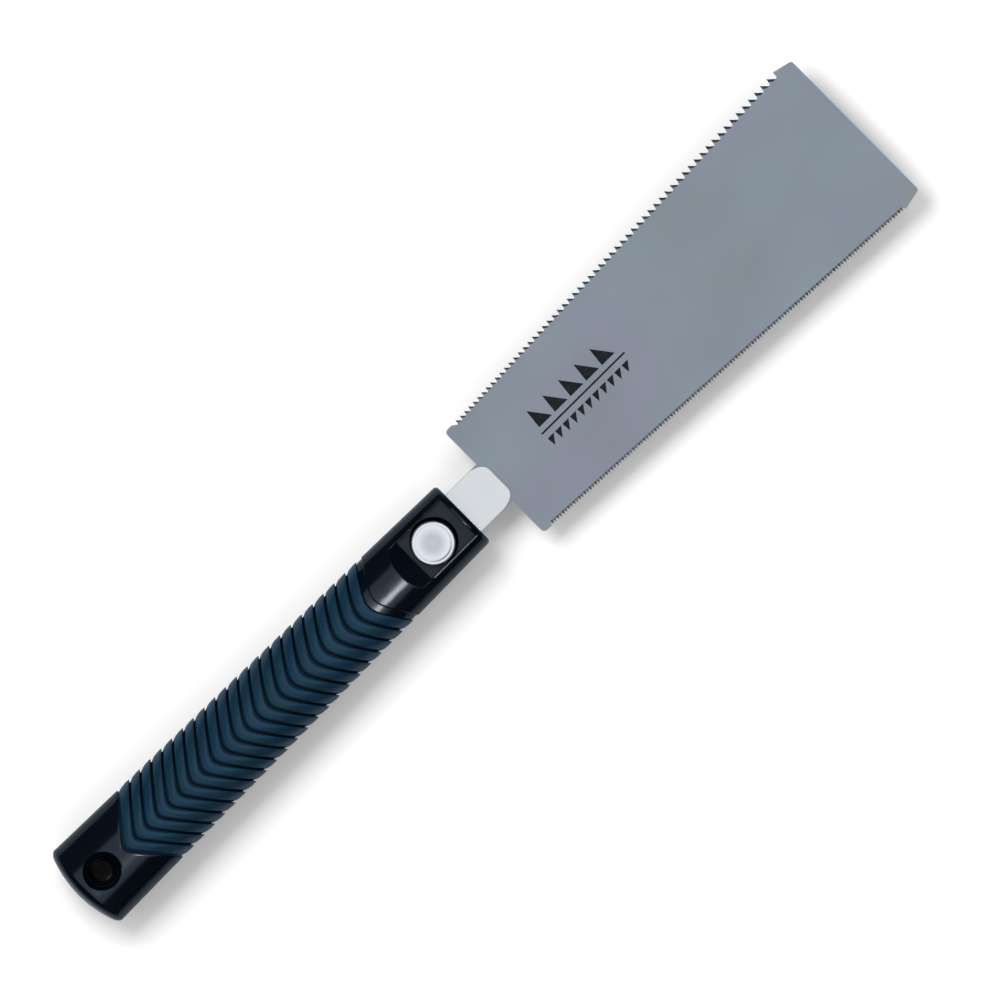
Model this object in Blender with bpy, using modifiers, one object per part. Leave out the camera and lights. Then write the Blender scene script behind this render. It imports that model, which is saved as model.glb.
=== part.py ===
"""A small double-edged pull saw with a push-button blade lock.

The blade has coarse rip teeth on its +Y edge and fine crosscut teeth on its -Y edge. Its tang, stiffened by
a plate on each face, slides into a steel socket in the handle. A stepped lock pin under the round button
holds the tang: the pin's collar fills the tang's keyhole, and pressing the button brings the pin's thin neck
level with the tang, which can then slide out along its slot.

The saw lies flat, with its length along X, the toe of the blade at +X and the button facing +Z. The origin is
on the surface it lies on, in the middle of its length and width. Stations are measured from the butt.
"""

import math

import bmesh
import bpy
from mathutils import Matrix

# ---------------------------------------------------------------- driving dimensions, in metres

OVERALL_LENGTH = 0.3472
HANDLE_LENGTH = 0.1721
HANDLE_THICKNESS = 0.021
MID_Z = HANDLE_THICKNESS / 2

TOOTH_LINE_START = 0.1891
TOOTH_LINE_LENGTH = 0.1509
HEEL_HALF_WIDTH = 0.02255
TOE_HALF_WIDTH = 0.03025
BLADE_THICKNESS = 0.0005

GAP = 0.00025
SHEET_GAP = 0.00005

# The handle's outline: it narrows steadily from the butt to the head, and its section is a flattened oval.
BUTT_HALF_WIDTH = 0.01547
WIDTH_TAPER = 0.0183
SECTION_POWER = 2.6
SECTION_FLATTENING = 1.02
SECTION_POINTS = 32
BUTT_BULGE_RADIUS = 0.0368
BUTT_FILLET = 0.0022
HEAD_FILLET = 0.0012

# The grip: stations of its chevrons' apexes, which lie on the handle's centre line.
GRIP_REAR = 0.0206
GRIP_FRONT = 0.1300
RIB_COUNT = 22
RIB_DEPTH = 0.00095
RUBBER_THICKNESS = 0.0024
CHEVRON_SLOPE_REAR = 0.86
CHEVRON_SLOPE_FRONT = 0.69
CHEVRON_APEX_REAR = 0.0012
CHEVRON_APEX_FRONT = 0.0037
CHEVRON_EDGE_FLARE = 0.0013

# The head: a shallow band in front of the grip, then the block that holds the button.
BLOCK_REAR = 0.1325
BAND_DEPTH = 0.00045
HEAD_SQUARE_FROM = 0.1500
PANEL_REAR = 0.1510
PANEL_FRONT = 0.1701
PANEL_HALF_WIDTH = 0.0083
PANEL_DEPTH = 0.0028
SCOOP_REAR = 0.1442
SCOOP_EXIT_DEGREES = 13.0

# The lock: the button's axis, its travel and the pin under it.
BUTTON_STATION = 0.1587
BUTTON_RADIUS = 0.0070
BUTTON_THICKNESS = 0.0034
BUTTON_TOP = 0.0208
BUTTON_TRAVEL = 0.0026
COLLAR_RADIUS = 0.0040
NECK_RADIUS = 0.0024
SPIGOT_RADIUS = 0.0022

TANG_HALF_WIDTH = 0.00815
TANG_REAR = 0.1445
TANG_PLATE_THICKNESS = 0.0007
TANG_PLATE_FRONT = 0.1879
TANG_PLATE_CORNER_LENGTH = 0.0060
TANG_PLATE_CORNER_WIDTH = 0.0040
HEEL_STATION = 0.1860
SOCKET_WALL = 0.0010
SOCKET_REAR = 0.1420
SOCKET_FRONT = 0.1715

HANG_HOLE_STATION = 0.0108
HANG_HOLE_MOUTH = 0.00615
HANG_HOLE_THROAT = 0.0032

SCREW_STATIONS = (0.036, 0.066, 0.096, 0.124)
TURNING_STEPS = 32


def along(station):
    """X of a station measured from the butt."""
    return station - OVERALL_LENGTH / 2


# ---------------------------------------------------------------- scene, materials and modelling helpers


def cleared_collection(name):
    for obj in list(bpy.data.objects):
        bpy.data.objects.remove(obj)
    made = bpy.data.collections.new(name)
    bpy.context.scene.collection.children.link(made)
    return made


SAW = cleared_collection("pull_saw")
CUTTERS = bpy.data.collections.new("cutters")
bpy.context.scene.collection.children.link(CUTTERS)
CUTTERS.hide_render = True


def material(name, colour, roughness, metallic=0.0):
    made = bpy.data.materials.new(name)
    made.use_nodes = True
    shader = made.node_tree.nodes["Principled BSDF"]
    shader.inputs["Base Color"].default_value = (*colour, 1.0)
    shader.inputs["Roughness"].default_value = roughness
    shader.inputs["Metallic"].default_value = metallic
    return made


BLADE_STEEL = material("blade_steel", (0.36, 0.40, 0.43), 0.38, 1.0)
BRIGHT_STEEL = material("bright_steel", (0.80, 0.82, 0.84), 0.25, 1.0)
SPRING_STEEL = material("spring_steel", (0.50, 0.50, 0.50), 0.35, 1.0)
BLACK_PLASTIC = material("black_plastic", (0.012, 0.014, 0.018), 0.22)
BLUE_RUBBER = material("blue_rubber", (0.018, 0.065, 0.10), 0.60)


def keep(name, mesh, finish, collection=None):
    """A new object for a finished mesh."""
    mesh.materials.clear()
    mesh.materials.append(finish)
    obj = bpy.data.objects.new(name, mesh)
    (collection or SAW).objects.link(obj)
    return obj


def as_cutter(obj):
    """Moves an object among the cutters, which aren't part of the saw."""
    for collection in obj.users_collection:
        collection.objects.unlink(obj)
    CUTTERS.objects.link(obj)
    obj.hide_render = True
    obj.display_type = "WIRE"
    return obj


def cut(obj, *cutters):
    """Cuts each cutter out of the object."""
    for cutter in cutters:
        boolean = obj.modifiers.new(cutter.name, "BOOLEAN")
        boolean.operation = "DIFFERENCE"
        boolean.solver = "EXACT"
        boolean.object = cutter


def smooth(mesh, sharp_angle=math.radians(35)):
    mesh.shade_smooth()
    mesh.set_sharp_from_angle(angle=sharp_angle)


def lofted(name, rings, finish, closed=False):
    """A skin through rings of points: capped at both ends, or joined last to first when closed."""
    form = bmesh.new()
    loops = [[form.verts.new(point) for point in ring] for ring in rings]
    pairs = list(zip(loops, loops[1:]))
    if closed:
        pairs.append((loops[-1], loops[0]))
    else:
        form.faces.new(loops[0])
        form.faces.new(list(reversed(loops[-1])))
    for first, second in pairs:
        for i in range(len(first)):
            j = (i + 1) % len(first)
            form.faces.new((first[j], first[i], second[i], second[j]))
    bmesh.ops.recalc_face_normals(form, faces=form.faces)
    mesh = bpy.data.meshes.new(name)
    form.to_mesh(mesh)
    form.free()
    smooth(mesh)
    return keep(name, mesh, finish)


def turned(name, profile, finish, station, y=0.0, steps=TURNING_STEPS):
    """A turned piece on a vertical axis. The profile's (radius, z) points run down its outer side."""
    mesh = bpy.data.meshes.new(name)
    edges = [(i, i + 1) for i in range(len(profile) - 1)]
    mesh.from_pydata([(radius, 0.0, z) for radius, z in profile], edges, [])
    obj = keep(name, mesh, finish)
    obj.location = (along(station), y, 0.0)
    screw = obj.modifiers.new("turning", "SCREW")
    screw.axis = "Z"
    screw.steps = screw.render_steps = steps
    screw.use_merge_vertices = True
    screw.merge_threshold = 0.00001
    screw.use_smooth_shade = False
    return obj


def block(name, low, high, finish):
    """A box between two corners."""
    form = bmesh.new()
    bmesh.ops.create_cube(form, size=1.0)
    size = [b - a for a, b in zip(low, high)]
    middle = [(a + b) / 2 for a, b in zip(low, high)]
    bmesh.ops.transform(form, matrix=Matrix.LocRotScale(middle, None, size), verts=form.verts)
    mesh = bpy.data.meshes.new(name)
    form.to_mesh(mesh)
    form.free()
    return keep(name, mesh, finish)


def plate(name, outline, thickness, finish, lowest_z):
    """A flat sheet with the outline, whose points are (x, y), lying at lowest_z."""
    curve = bpy.data.curves.new(name, "CURVE")
    curve.dimensions = "2D"
    curve.fill_mode = "BOTH"
    curve.extrude = thickness / 2
    spline = curve.splines.new("POLY")
    spline.points.add(len(outline) - 1)
    for point, (x, y) in zip(spline.points, outline):
        point.co = (x, y, 0.0, 1.0)
    spline.use_cyclic_u = True
    curve.materials.append(finish)
    obj = bpy.data.objects.new(name, curve)
    obj.location.z = lowest_z + thickness / 2
    SAW.objects.link(obj)
    return obj


def as_mesh(obj):
    """The object with its curve turned into a welded mesh, so that it can be cut or can cut."""
    bpy.context.view_layer.update()
    graph = bpy.context.evaluated_depsgraph_get()
    mesh = bpy.data.meshes.new_from_object(obj.evaluated_get(graph))
    form = bmesh.new()
    form.from_mesh(mesh)
    bmesh.ops.remove_doubles(form, verts=form.verts, dist=0.000001)
    bmesh.ops.recalc_face_normals(form, faces=form.faces)
    form.to_mesh(mesh)
    form.free()
    name, matrix, finish = obj.name, obj.matrix_world.copy(), obj.data.materials[0]
    curve = obj.data
    bpy.data.objects.remove(obj)
    bpy.data.curves.remove(curve)
    made = keep(name, mesh, finish)
    made.matrix_world = matrix
    return made


def arc(centre, radius, start, end, points):
    """Points on an arc, with its angles in degrees."""
    angles = [math.radians(start + (end - start) * i / (points - 1)) for i in range(points)]
    return [(centre[0] + radius * math.cos(a), centre[1] + radius * math.sin(a)) for a in angles]


def blend(low, high, share):
    return low + (high - low) * min(1.0, max(0.0, share))


# ---------------------------------------------------------------- the handle's surface


def half_width(station):
    return BUTT_HALF_WIDTH - WIDTH_TAPER * station


def chevron_shift(station, y):
    """How far a ring of the handle leans towards the head at y: none on the centre line, most at the sides."""
    share = (station - GRIP_REAR) / (GRIP_FRONT - GRIP_REAR)
    slope = blend(CHEVRON_SLOPE_REAR, CHEVRON_SLOPE_FRONT, share)
    apex = blend(CHEVRON_APEX_REAR, CHEVRON_APEX_FRONT, share)
    square_until = GRIP_REAR * 0.4
    rise = blend(0.0, 1.0, (station - square_until) / (GRIP_REAR - square_until))
    fall = blend(1.0, 0.0, (station - BLOCK_REAR) / (HEAD_SQUARE_FROM - BLOCK_REAR))
    straight = rise * fall * slope * (math.hypot(y, apex) - apex)
    ribbed = blend(0.0, 1.0, (station - GRIP_REAR) / 0.005) * blend(1.0, 0.0, (station - GRIP_FRONT) / 0.0025)
    return straight + ribbed * CHEVRON_EDGE_FLARE * (abs(y) / half_width(station)) ** 8


def bulge_shift(station, y, z):
    """How far the rounded butt falls away from its middle."""
    fading = blend(1.0, 0.0, station / (GRIP_REAR * 0.4))
    return fading * (y * y + z * z) / (2 * BUTT_BULGE_RADIUS)


def section_point(angle, half_y, half_z):
    """A point of the oval section, which is flat on top and underneath."""
    cosine, sine = math.cos(angle), math.sin(angle)
    power = 2 / SECTION_POWER
    y = half_y * math.copysign(abs(cosine) ** power, cosine)
    z = half_z * min(1.0, SECTION_FLATTENING * abs(sine) ** power)
    return y, math.copysign(z, sine)


def handle_ring(station, inset):
    """A ring round the handle, this far under its outer surface."""
    side_station = station + chevron_shift(station, half_width(station))
    half_y = half_width(side_station) - inset
    half_z = HANDLE_THICKNESS / 2 - inset
    ring = []
    for i in range(SECTION_POINTS):
        y, z = section_point(2 * math.pi * i / SECTION_POINTS, half_y, half_z)
        x = along(station + chevron_shift(station, y) + bulge_shift(station, y, z))
        ring.append((x, y, MID_Z + z))
    return ring


def grip_stations(rear, front, count=9):
    return [rear + (front - rear) * i / (count - 1) for i in range(count)]


def core_rings():
    """The plastic core's outer surface: the butt, the waist under the rubber, the band and the head."""
    under_rubber = RUBBER_THICKNESS + GAP / 2
    rings = [handle_ring(0.0, inset) for inset in (0.0085, 0.0062, 0.0040)]
    for step in range(5):
        angle = math.radians(90 * step / 4)
        inset = BUTT_FILLET * (1 - math.sin(angle))
        rings.append(handle_ring(BUTT_FILLET * (1 - math.cos(angle)), inset))
    rings.append(handle_ring(GRIP_REAR * 0.4, 0.0))
    rings.append(handle_ring(GRIP_REAR * 0.7, 0.0))
    rings.append(handle_ring(GRIP_REAR - GAP, 0.0))
    rings += [handle_ring(s, under_rubber) for s in grip_stations(GRIP_REAR - GAP, GRIP_FRONT + GAP)]
    rings.append(handle_ring(GRIP_FRONT + GAP, BAND_DEPTH))
    rings.append(handle_ring(BLOCK_REAR, BAND_DEPTH))
    rings.append(handle_ring(BLOCK_REAR + BAND_DEPTH, 0.0))
    rings.append(handle_ring(blend(BLOCK_REAR, HEAD_SQUARE_FROM, 0.5), 0.0))
    rings.append(handle_ring(HEAD_SQUARE_FROM, 0.0))
    for step in range(4):
        angle = math.radians(90 * step / 3)
        inset = HEAD_FILLET * (1 - math.cos(angle))
        rings.append(handle_ring(HANDLE_LENGTH - HEAD_FILLET * (1 - math.sin(angle)), inset))
    return rings


def core_half(name, upper):
    """One half of the core, split along the handle's middle plane."""
    half = lofted(name, core_rings(), BLACK_PLASTIC)
    side = 1 if upper else -1
    form = bmesh.new()
    form.from_mesh(half.data)
    geometry = list(form.verts) + list(form.edges) + list(form.faces)
    split = (0.0, 0.0, MID_Z + side * SHEET_GAP)
    halved = bmesh.ops.bisect_plane(
        form, geom=geometry, plane_co=split, plane_no=(0.0, 0.0, -side), dist=0.0, clear_outer=True
    )
    rim = [item for item in halved["geom_cut"] if isinstance(item, bmesh.types.BMEdge)]
    bmesh.ops.contextual_create(form, geom=rim)
    bmesh.ops.triangulate(form, faces=form.faces)
    bmesh.ops.recalc_face_normals(form, faces=form.faces)
    form.to_mesh(half.data)
    form.free()
    return half


# ---------------------------------------------------------------- cutters for the two halves of the core

LOW = -0.002
HIGH = HANDLE_THICKNESS + 0.002
SHELL_CLEARANCE = 0.00015
SOCKET_HALF_Y = TANG_HALF_WIDTH + 0.0002 + SOCKET_WALL
SOCKET_HALF_INSIDE = 0.0012
SOCKET_HALF_Z = SOCKET_HALF_INSIDE + SOCKET_WALL
NECK_BORE = 0.0028
COLLAR_BORE = 0.0044
PLUG_RADIUS = 0.0055
PLUG_TOP = 0.0019
SCREW_HEAD_LOW = 0.0027
SCREW_HEAD_HIGH = 0.0043


def cylinder_cutter(name, radius, low, high, station, y=0.0):
    profile = [(0.0, high), (radius, high), (radius, low), (0.0, low)]
    return as_cutter(turned(name, profile, BLACK_PLASTIC, station, y))


def hang_hole_cutter():
    """The hanging hole narrows from both faces to a throat in the middle."""
    half = HANDLE_THICKNESS / 2
    chamfer = 0.0007
    outside = [(0.0, HIGH), (HANG_HOLE_MOUTH + chamfer, HIGH), (HANG_HOLE_MOUTH + chamfer, HANDLE_THICKNESS)]
    wall = []
    for step in range(9):
        share = 1 - step / 4
        radius = HANG_HOLE_THROAT + (HANG_HOLE_MOUTH - HANG_HOLE_THROAT) * share * share
        wall.append((radius, MID_Z + share * (half - chamfer)))
    inside = [(HANG_HOLE_MOUTH + chamfer, 0.0), (HANG_HOLE_MOUTH + chamfer, LOW), (0.0, LOW)]
    return as_cutter(turned("hang_hole_cutter", outside + wall + inside, BLACK_PLASTIC, HANG_HOLE_STATION))


def panel_cutter():
    """The sunk flat round the button, and the hollowed scoop that runs down to its edge from the crown behind."""
    run = PANEL_REAR - SCOOP_REAR
    leaving = math.radians(SCOOP_EXIT_DEGREES)
    fall = PANEL_DEPTH * math.cos(leaving) - run * math.sin(leaving)
    radius = (run * run + PANEL_DEPTH * PANEL_DEPTH) / (2 * fall)
    floor = HANDLE_THICKNESS - PANEL_DEPTH
    centre = (along(PANEL_REAR) + radius * math.sin(leaving), floor + radius * math.cos(leaving))
    steepest = math.degrees(math.asin(run / radius + math.sin(leaving)))
    scoop = arc(centre, radius, 270 - steepest, 270 - SCOOP_EXIT_DEGREES, 7)
    outline = [*scoop, (along(PANEL_FRONT), floor), (along(PANEL_FRONT), HIGH), (scoop[0][0], HIGH)]
    cutter = as_mesh(plate("panel_cutter", outline, 2 * PANEL_HALF_WIDTH, BLACK_PLASTIC, -PANEL_HALF_WIDTH))
    cutter.rotation_euler = (math.pi / 2, 0.0, 0.0)
    return as_cutter(cutter)


def socket_cavity_cutter():
    side, top = SOCKET_HALF_Y + SHELL_CLEARANCE, SOCKET_HALF_Z + SHELL_CLEARANCE
    low = (along(SOCKET_REAR) - SHELL_CLEARANCE, -side, MID_Z - top)
    return as_cutter(block("socket_cavity", low, (along(HANDLE_LENGTH + 0.002), side, MID_Z + top), BLACK_PLASTIC))


def pocket_cutters():
    """The hollows that lighten the core, one between each two screws."""
    made = []
    for i, (rear, front) in enumerate(zip(SCREW_STATIONS, SCREW_STATIONS[1:])):
        low = (along(rear + 0.006), -0.0075, MID_Z - 0.0052)
        high = (along(front - 0.006), 0.0075, MID_Z + 0.0052)
        made.append(as_cutter(block(f"pocket_{i + 1}", low, high, BLACK_PLASTIC)))
    return made


def handle_shells():
    """The two black mouldings. The upper one carries the button, the lower one the spring's plug."""
    hang_hole = hang_hole_cutter()
    socket_cavity = socket_cavity_cutter()
    pockets = pocket_cutters()
    floor_of_bore = BUTTON_TOP - BUTTON_THICKNESS - BUTTON_TRAVEL - 0.0004
    upper = core_half("handle_shell_upper", True)
    cut(upper, hang_hole, socket_cavity, *pockets, panel_cutter())
    cut(upper, cylinder_cutter("button_bore", BUTTON_RADIUS + 0.0003, floor_of_bore, HIGH, BUTTON_STATION))
    cut(upper, cylinder_cutter("neck_bore", NECK_BORE, MID_Z, floor_of_bore + 0.001, BUTTON_STATION))
    lower = core_half("handle_shell_lower", False)
    cut(lower, hang_hole, socket_cavity, *pockets)
    cut(lower, cylinder_cutter("collar_bore", COLLAR_BORE, PLUG_TOP - 0.001, MID_Z, BUTTON_STATION))
    cut(lower, cylinder_cutter("plug_seat", PLUG_RADIUS + 0.0001, LOW, PLUG_TOP + 0.0001, BUTTON_STATION))
    hole, seat, seat_top, end = 0.0017, 0.0032, SCREW_HEAD_HIGH + 0.0001, 0.0162
    profile = [(0.0, end), (hole, end), (hole, seat_top), (seat, seat_top), (seat, LOW), (0.0, LOW)]
    for i, station in enumerate(SCREW_STATIONS):
        screw_hole = as_cutter(turned(f"screw_hole_{i + 1}", profile, BLACK_PLASTIC, station))
        cut(upper, screw_hole)
        cut(lower, screw_hole)


# ---------------------------------------------------------------- the rubber grip


def grip_sleeve():
    """The rubber sleeve. Each rib rises towards the head and ends in a step that faces the blade."""
    pitch = (GRIP_FRONT - GRIP_REAR) / RIB_COUNT
    profile = ((0.04, RIB_DEPTH), (0.36, 0.18 * RIB_DEPTH), (0.90, 0.0))
    outer = []
    for rib in range(RIB_COUNT):
        outer += [handle_ring(GRIP_REAR + pitch * (rib + share), inset) for share, inset in profile]
    rear = handle_ring(GRIP_REAR, RIB_DEPTH)
    front = handle_ring(GRIP_FRONT, 0.5 * RIB_DEPTH)
    inside = [
        handle_ring(s, RUBBER_THICKNESS - GAP / 2)
        for s in grip_stations(GRIP_REAR, GRIP_FRONT)
    ]
    return lofted("grip_sleeve", [rear, *outer, front, *reversed(inside)], BLUE_RUBBER, closed=True)


# ---------------------------------------------------------------- the blade and its tang

KEYHOLE_RADIUS = COLLAR_RADIUS + 0.00015
SLOT_HALF_WIDTH = NECK_RADIUS + 0.00025
TANG_CORNER = 0.0020
FIRST_RIP_TIP = 0.1912
RIP_TEETH = 61
RIP_PITCH_TERMS = (0.00194, 0.00145, -0.00043)
RIP_TOOTH_DEPTH = 0.70
CROSSCUT_TEETH = 131


def tang_outline(front):
    """The tang with its keyhole, anticlockwise, closed by the points in front from the -Y to the +Y side."""
    rear, centre = along(TANG_REAR), along(BUTTON_STATION)
    inner = TANG_HALF_WIDTH - TANG_CORNER
    mouth = math.degrees(math.asin(SLOT_HALF_WIDTH / KEYHOLE_RADIUS))
    keyhole = arc((centre, 0.0), KEYHOLE_RADIUS, 180 - mouth, mouth - 180, 25)
    return [
        *arc((rear + TANG_CORNER, -inner), TANG_CORNER, 180, 270, 5),
        *front,
        *arc((rear + TANG_CORNER, inner), TANG_CORNER, 90, 180, 5),
        (rear, SLOT_HALF_WIDTH),
        *keyhole,
        (rear, -SLOT_HALF_WIDTH),
    ]


def tooth_line_y(station):
    """Half the blade's width at the tooth tips."""
    share = (station - TOOTH_LINE_START) / TOOTH_LINE_LENGTH
    return HEEL_HALF_WIDTH + (TOE_HALF_WIDTH - HEEL_HALF_WIDTH) * share


def rip_tips():
    """Stations of the rip teeth, whose pitch grows from heel to toe."""
    tips = [FIRST_RIP_TIP]
    first, second, third = RIP_PITCH_TERMS
    for _ in range(RIP_TEETH - 1):
        share = (tips[-1] - TOOTH_LINE_START) / TOOTH_LINE_LENGTH
        tips.append(tips[-1] + first + second * share + third * share**2)
    return tips


def rip_edge():
    """The +Y edge from toe to heel. A rip tooth's front faces the handle, nearly square to the edge."""
    points = []
    tips = rip_tips()
    for tip, following in zip(tips, tips[1:]):
        pitch = following - tip
        points.append((along(tip), tooth_line_y(tip)))
        for share, depth in ((0.74, RIP_TOOTH_DEPTH), (0.93, 0.36)):
            station = tip + share * pitch
            points.append((along(station), tooth_line_y(station) - depth * pitch))
    points.append((along(tips[-1]), tooth_line_y(tips[-1])))
    first_pitch = tips[1] - tips[0]
    gullet = tips[0] - 0.26 * first_pitch
    points.insert(0, (along(gullet), tooth_line_y(gullet) - RIP_TOOTH_DEPTH * first_pitch))
    points.insert(0, (along(TOOTH_LINE_START), HEEL_HALF_WIDTH))
    return list(reversed(points))


def crosscut_edge():
    """The -Y edge from heel to toe, with slender teeth that point nearly straight out."""
    pitch = TOOTH_LINE_LENGTH / CROSSCUT_TEETH
    depth = 0.95 * pitch
    points = [(along(TOOTH_LINE_START), -HEEL_HALF_WIDTH)]
    for i in range(1, CROSSCUT_TEETH):
        tip = TOOTH_LINE_START + pitch * i
        for station, inset in ((tip - 0.36 * pitch, depth), (tip, 0.0)):
            points.append((along(station), inset - tooth_line_y(station)))
    end = TOOTH_LINE_START + TOOTH_LINE_LENGTH
    points.append((along(end - 0.36 * pitch), depth - tooth_line_y(end)))
    points.append((along(end), -tooth_line_y(end)))
    return points


def blade_outline():
    heel, toe = along(HEEL_STATION), OVERALL_LENGTH / 2
    heel_corner, toe_corner = 0.0014, 0.0009
    toe_y = TOE_HALF_WIDTH - 0.0014
    side = HEEL_HALF_WIDTH - heel_corner - 0.0001
    front = [
        (heel, -TANG_HALF_WIDTH),
        *arc((heel + heel_corner, -side), heel_corner, 180, 262, 4),
        *crosscut_edge(),
        *arc((toe - toe_corner, toe_corner - toe_y), toe_corner, 282, 360, 4),
        *arc((toe - toe_corner, toe_y - toe_corner), toe_corner, 0, 78, 4),
        *rip_edge(),
        *arc((heel + heel_corner, side), heel_corner, 98, 180, 4),
        (heel, TANG_HALF_WIDTH),
    ]
    return tang_outline(front)


def tang_plate_outline():
    """The tang's outline with a front end whose corners are quarters of an ellipse."""
    straight_end = along(TANG_PLATE_FRONT) - TANG_PLATE_CORNER_LENGTH
    inner = TANG_HALF_WIDTH - TANG_PLATE_CORNER_WIDTH
    corner = [
        (straight_end + TANG_PLATE_CORNER_LENGTH * x, inner + TANG_PLATE_CORNER_WIDTH * y)
        for x, y in arc((0.0, 0.0), 1.0, 0, 90, 8)
    ]
    return tang_outline([*[(x, -y) for x, y in reversed(corner)], *corner])


def blade_and_tang():
    """The blade, the two plates that stiffen its tang, and the steel socket they slide into."""
    half = BLADE_THICKNESS / 2
    plate("blade", blade_outline(), BLADE_THICKNESS, BLADE_STEEL, MID_Z - half)
    above = MID_Z + half + SHEET_GAP
    below = MID_Z - half - SHEET_GAP - TANG_PLATE_THICKNESS
    plate("tang_plate_upper", tang_plate_outline(), TANG_PLATE_THICKNESS, BRIGHT_STEEL, above)
    plate("tang_plate_lower", tang_plate_outline(), TANG_PLATE_THICKNESS, BRIGHT_STEEL, below)


def tang_socket():
    """A flat steel sleeve, open towards the blade, with a hole for the pin's neck above and its collar below."""
    rear, front = along(SOCKET_REAR), along(SOCKET_FRONT)
    inside_y = SOCKET_HALF_Y - SOCKET_WALL
    low, high = (rear, -SOCKET_HALF_Y, MID_Z - SOCKET_HALF_Z), (front, SOCKET_HALF_Y, MID_Z + SOCKET_HALF_Z)
    socket = block("tang_socket", low, high, BRIGHT_STEEL)
    mouth_low = (rear + SOCKET_WALL, -inside_y, MID_Z - SOCKET_HALF_INSIDE)
    mouth_high = (front + 0.002, inside_y, MID_Z + SOCKET_HALF_INSIDE)
    cut(socket, as_cutter(block("socket_mouth", mouth_low, mouth_high, BRIGHT_STEEL)))
    top_hole = cylinder_cutter("socket_neck_hole", NECK_BORE, MID_Z, MID_Z + 0.004, BUTTON_STATION)
    bottom_hole = cylinder_cutter("socket_collar_hole", COLLAR_BORE - 0.0001, MID_Z - 0.004, MID_Z, BUTTON_STATION)
    cut(socket, top_hole, bottom_hole)
    return socket


# ---------------------------------------------------------------- the button lock

COLLAR_TOP = MID_Z + 0.0011
COLLAR_HEIGHT = 0.0036
SPIGOT_LENGTH = 0.0016
SPRING_WIRE_RADIUS = 0.00025
SPRING_MEAN_RADIUS = 0.0033
SPRING_TURNS = 4.5


def button_and_pin():
    """The button cap and the stepped pin pressed into it. They move together on one vertical axis."""
    top, bottom = BUTTON_TOP, BUTTON_TOP - BUTTON_THICKNESS
    bevel, dish_radius, dish_depth = 0.0006, 0.0052, 0.00025
    bore, bore_top = NECK_RADIUS + SHEET_GAP, bottom + 0.0020
    cap_profile = [
        (0.0, top - dish_depth),
        (dish_radius - dish_depth, top - dish_depth),
        (dish_radius, top),
        (BUTTON_RADIUS - bevel, top),
        (BUTTON_RADIUS, top - bevel),
        (BUTTON_RADIUS, bottom),
        (bore, bottom),
        (bore, bore_top),
        (0.0, bore_top),
    ]
    collar_bottom = COLLAR_TOP - COLLAR_HEIGHT
    pin_profile = [
        (0.0, bore_top - SHEET_GAP),
        (NECK_RADIUS, bore_top - SHEET_GAP),
        (NECK_RADIUS, COLLAR_TOP),
        (COLLAR_RADIUS, COLLAR_TOP),
        (COLLAR_RADIUS, collar_bottom),
        (SPIGOT_RADIUS, collar_bottom),
        (SPIGOT_RADIUS, collar_bottom - SPIGOT_LENGTH),
        (0.0, collar_bottom - SPIGOT_LENGTH),
    ]
    cap = turned("button_cap", cap_profile, BRIGHT_STEEL, BUTTON_STATION)
    pin = turned("lock_pin", pin_profile, BRIGHT_STEEL, BUTTON_STATION)
    axis = bpy.data.objects.new("button_axis", None)
    axis.location = (along(BUTTON_STATION), 0.0, 0.0)
    SAW.objects.link(axis)
    for piece in (cap, pin):
        piece.parent = axis
        piece.location = (0.0, 0.0, 0.0)


def release_spring():
    """The compression spring under the collar, with its end turns wound close."""
    low = PLUG_TOP + SHELL_CLEARANCE + SPRING_WIRE_RADIUS
    high = COLLAR_TOP - COLLAR_HEIGHT - SHELL_CLEARANCE - SPRING_WIRE_RADIUS
    per_turn = 16
    count = int(SPRING_TURNS * per_turn) + 1
    curve = bpy.data.curves.new("release_spring", "CURVE")
    curve.dimensions = "3D"
    curve.bevel_depth = SPRING_WIRE_RADIUS
    curve.bevel_resolution = 2
    curve.use_fill_caps = True
    spline = curve.splines.new("POLY")
    spline.points.add(count - 1)
    closing = 2 * SPRING_WIRE_RADIUS + 0.00005
    for i, point in enumerate(spline.points):
        turn = i / per_turn
        angle = 2 * math.pi * turn
        from_end = min(turn, SPRING_TURNS - turn)
        middle = (turn - 1) / (SPRING_TURNS - 2)
        if from_end < 1:
            z = low + closing * turn if turn < 1 else high - closing * (SPRING_TURNS - turn)
        else:
            z = low + closing + (high - low - 2 * closing) * middle
        x, y = SPRING_MEAN_RADIUS * math.cos(angle), SPRING_MEAN_RADIUS * math.sin(angle)
        point.co = (along(BUTTON_STATION) + x, y, z, 1.0)
    curve.materials.append(SPRING_STEEL)
    SAW.objects.link(bpy.data.objects.new("release_spring", curve))


def spring_plug():
    """The plug that closes the lock from below, flush with the handle, with a nub that centres the spring."""
    bevel, bottom = 0.0004, 0.0001
    nub_radius, nub_top = 0.0020, PLUG_TOP + 0.0011
    profile = [
        (0.0, nub_top),
        (nub_radius, nub_top),
        (nub_radius, PLUG_TOP),
        (PLUG_RADIUS, PLUG_TOP),
        (PLUG_RADIUS, bottom + bevel),
        (PLUG_RADIUS - bevel, bottom),
        (0.0, bottom),
    ]
    turned("spring_plug", profile, BLACK_PLASTIC, BUTTON_STATION)


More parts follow.
